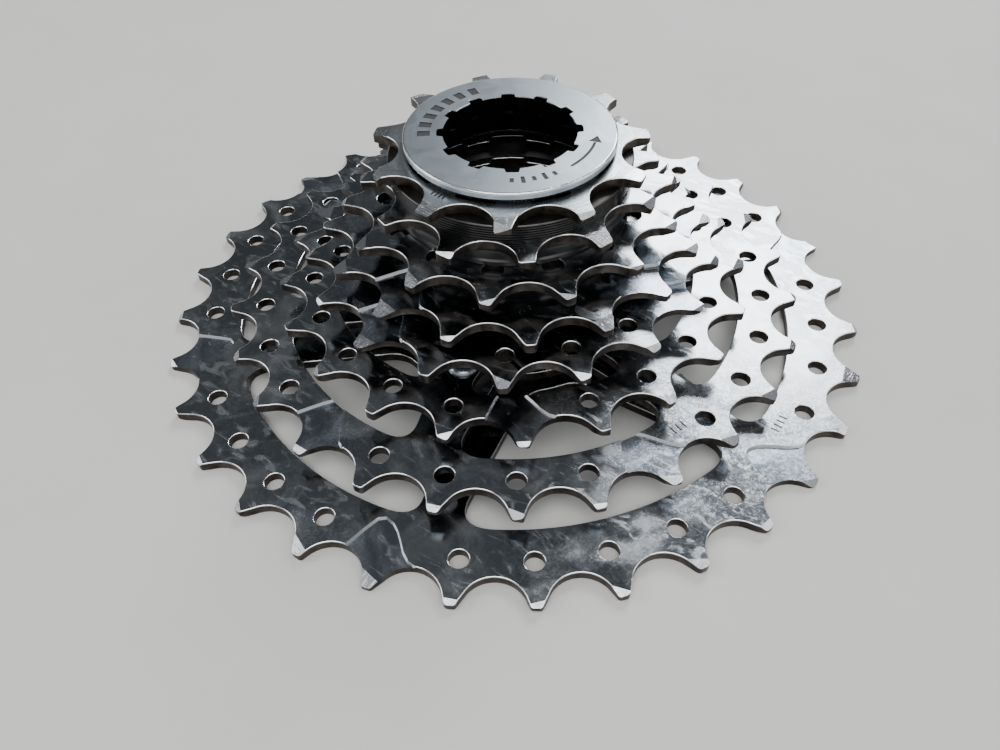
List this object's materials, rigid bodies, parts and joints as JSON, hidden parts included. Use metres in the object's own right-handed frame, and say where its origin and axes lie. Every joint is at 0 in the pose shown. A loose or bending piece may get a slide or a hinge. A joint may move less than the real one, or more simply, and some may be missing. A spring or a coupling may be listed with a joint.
{
  "type": "bicycle cassette",
  "caption": "Bicycle rear cassette: stacked toothed sprockets in falling sizes on a splined bore, spider windows in the large ones, black spacers and a notched lockring.",
  "frame": {"origin": "on the bore's axis at the back face of the largest sprocket, the face the cassette stands on", "axes": "+Z along the bore's axis from the largest sprocket to the lockring; +X to the right and -Y to the front in the usual view"},
  "size_m": [0.1312, 0.1312, 0.0389],
  "materials": {
    "plated_steel": "nickel-plated stamped steel, polished and scuffed by chain wear",
    "satin_plated_steel": "plated steel, lighter and more satin than the other sprockets",
    "black_spacer": "black moulded plastic, slightly greasy",
    "grooved_steel_spacer": "dark turned steel with fine grooves",
    "rivet_steel": "bare steel rivet",
    "washer_steel": "dark knurled steel",
    "lockring_satin": "satin plated, faintly blue-grey"
  },
  "bodies": {
    "cluster": {"sprocket_32t": "plated_steel", "spacer_32_26": "black_spacer", "sprocket_26t": "plated_steel", "spacer_26_21": "black_spacer", "sprocket_21t": "plated_steel", "rivet_1": "rivet_steel", "rivet_2": "rivet_steel", "rivet_3": "rivet_steel"},
    "loose_18t": {"spacer_21_18": "black_spacer", "sprocket_18t": "plated_steel"},
    "loose_16t": {"spacer_18_16": "black_spacer", "sprocket_16t": "plated_steel"},
    "loose_14t": {"spacer_16_14": "black_spacer", "sprocket_14t": "plated_steel"},
    "loose_12t": {"spacer_14_12": "black_spacer", "sprocket_12t": "plated_steel"},
    "loose_11t": {"spacer_12_11": "grooved_steel_spacer", "sprocket_11t": "satin_plated_steel"},
    "lockring_carriage": {"lockring_washer": "washer_steel"},
    "lockring_ring": {"lockring": "lockring_satin"}
  },
  "joints": [
    {"name": "lift_18t", "type": "slide", "parent": "cluster", "child": "loose_18t", "axis": [0, 0, 1], "range_m": [0, 0.012]},
    {"name": "lift_16t", "type": "slide", "parent": "loose_18t", "child": "loose_16t", "axis": [0, 0, 1], "range_m": [0, 0.012]},
    {"name": "lift_14t", "type": "slide", "parent": "loose_16t", "child": "loose_14t", "axis": [0, 0, 1], "range_m": [0, 0.012]},
    {"name": "lift_12t", "type": "slide", "parent": "loose_14t", "child": "loose_12t", "axis": [0, 0, 1], "range_m": [0, 0.012]},
    {"name": "lift_11t", "type": "slide", "parent": "loose_12t", "child": "loose_11t", "axis": [0, 0, 1], "range_m": [0, 0.012]},
    {"name": "lockring_lift", "type": "slide", "parent": "loose_11t", "child": "lockring_carriage", "axis": [0, 0, 1], "range_m": [0, 0.0061]},
    {"name": "lockring_turn", "type": "hinge", "parent": "lockring_carriage", "child": "lockring_ring", "pos_m": [0, 0, 0.0373], "axis": [0, 0, 1], "range_deg": [0, 2160]}
  ],
  "couplings": [
    {"joint": "lockring_lift", "follows": "lockring_turn", "m_per_rad": 0.00015915}
  ]
}
